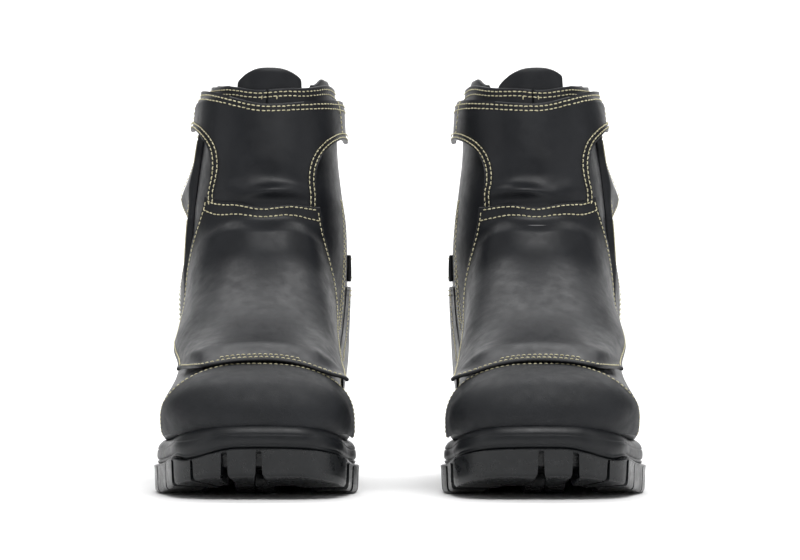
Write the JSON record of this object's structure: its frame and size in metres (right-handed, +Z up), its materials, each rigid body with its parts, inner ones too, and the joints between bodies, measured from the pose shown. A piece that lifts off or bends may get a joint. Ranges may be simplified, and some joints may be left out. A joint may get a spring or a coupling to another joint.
{
  "type": "fire boots",
  "caption": "Pair of ankle-high fire boots with a fold-forward padded instep guard, side-closing wings, lugged rubber soles and a protective toe.",
  "frame": {"origin": "on the floor, under the middle of the pair's bounding box", "axes": "+Z up, toes towards -Y, heels towards +Y, the wearer's right boot on -X and the left boot on +X"},
  "size_m": [0.274, 0.3109, 0.2432],
  "materials": {
    "leather": "smooth oiled leather",
    "scuff_leather": "matte pebbled leather",
    "sole_rubber": "moulded rubber",
    "midsole_rubber": "moulded foam rubber",
    "steel": "plain pressed steel",
    "board": "woven board",
    "lining_textile": "knitted mesh",
    "footbed_textile": "felted top sheet",
    "hook_and_loop": "hook and loop pile",
    "guard_plate_plastic": "moulded plate",
    "guard_foam": "closed-cell foam"
  },
  "bodies": {
    "right_boot": {"right_outsole": "sole_rubber", "right_midsole": "midsole_rubber", "right_shank": "steel", "right_insole_board": "board", "right_footbed": "footbed_textile", "right_toe_cap": "steel", "right_heel_counter": "board", "right_vamp": "leather", "right_scuff_cap": "scuff_leather", "right_lateral_quarter": "leather", "right_medial_quarter": "leather", "right_heel_cover": "leather", "right_back_stay": "leather", "right_ankle_band": "leather", "right_collar": "leather", "right_lining": "lining_textile", "right_closure_panel": "leather", "right_lateral_loop_patch": "hook_and_loop", "right_medial_loop_patch": "hook_and_loop"},
    "left_boot": {"left_outsole": "sole_rubber", "left_midsole": "midsole_rubber", "left_shank": "steel", "left_insole_board": "board", "left_footbed": "footbed_textile", "left_toe_cap": "steel", "left_heel_counter": "board", "left_vamp": "leather", "left_scuff_cap": "scuff_leather", "left_lateral_quarter": "leather", "left_medial_quarter": "leather", "left_heel_cover": "leather", "left_back_stay": "leather", "left_ankle_band": "leather", "left_collar": "leather", "left_lining": "lining_textile", "left_closure_panel": "leather", "left_lateral_loop_patch": "hook_and_loop", "left_medial_loop_patch": "hook_and_loop"},
    "right_shroud": {"right_front_flap": "leather", "right_guard_cover": "leather", "right_guard_plate": "guard_plate_plastic", "right_guard_foam": "guard_foam"},
    "right_lateral_wing_body": {"right_lateral_wing": "leather", "right_lateral_hook_patch": "hook_and_loop"},
    "right_medial_wing_body": {"right_medial_wing": "leather", "right_medial_hook_patch": "hook_and_loop"},
    "right_tongue_body": {"right_tongue": "leather"},
    "left_shroud": {"left_front_flap": "leather", "left_guard_cover": "leather", "left_guard_plate": "guard_plate_plastic", "left_guard_foam": "guard_foam"},
    "left_lateral_wing_body": {"left_lateral_wing": "leather", "left_lateral_hook_patch": "hook_and_loop"},
    "left_medial_wing_body": {"left_medial_wing": "leather", "left_medial_hook_patch": "hook_and_loop"},
    "left_tongue_body": {"left_tongue": "leather"}
  },
  "joints": [
    {"name": "left_boot_apart", "type": "slide", "parent": "right_boot", "child": "left_boot", "axis": [1, 0, 0], "range_m": [0, 0.12]},
    {"name": "right_shroud_fold", "type": "hinge", "parent": "right_boot", "child": "right_shroud", "pos_m": [-0.079, -0.1155, 0.0715], "axis": [1, 0, 0], "range_deg": [0, 75]},
    {"name": "right_tongue_tilt", "type": "hinge", "parent": "right_boot", "child": "right_tongue_body", "pos_m": [-0.079, 0.0078, 0.121], "axis": [-1, 0, 0], "range_deg": [0, 12]},
    {"name": "right_lateral_wing_peel", "type": "hinge", "parent": "right_shroud", "child": "right_lateral_wing_body", "pos_m": [-0.11028, 0.0371, 0.20669], "axis": [0.1246, 0.1422, 0.982], "range_deg": [0, 70]},
    {"name": "right_medial_wing_peel", "type": "hinge", "parent": "right_shroud", "child": "right_medial_wing_body", "pos_m": [-0.04821, 0.03656, 0.20596], "axis": [0.0285, -0.143, -0.9893], "range_deg": [0, 40]},
    {"name": "left_shroud_fold", "type": "hinge", "parent": "left_boot", "child": "left_shroud", "pos_m": [0.079, -0.1155, 0.0715], "axis": [1, 0, 0], "range_deg": [0, 75]},
    {"name": "left_tongue_tilt", "type": "hinge", "parent": "left_boot", "child": "left_tongue_body", "pos_m": [0.079, 0.0078, 0.121], "axis": [-1, 0, 0], "range_deg": [0, 12]},
    {"name": "left_lateral_wing_peel", "type": "hinge", "parent": "left_shroud", "child": "left_lateral_wing_body", "pos_m": [0.11028, 0.0371, 0.20669], "axis": [0.1246, -0.1422, -0.982], "range_deg": [0, 70]},
    {"name": "left_medial_wing_peel", "type": "hinge", "parent": "left_shroud", "child": "left_medial_wing_body", "pos_m": [0.04821, 0.03656, 0.20596], "axis": [0.0285, 0.143, 0.9893], "range_deg": [0, 40]}
  ]
}
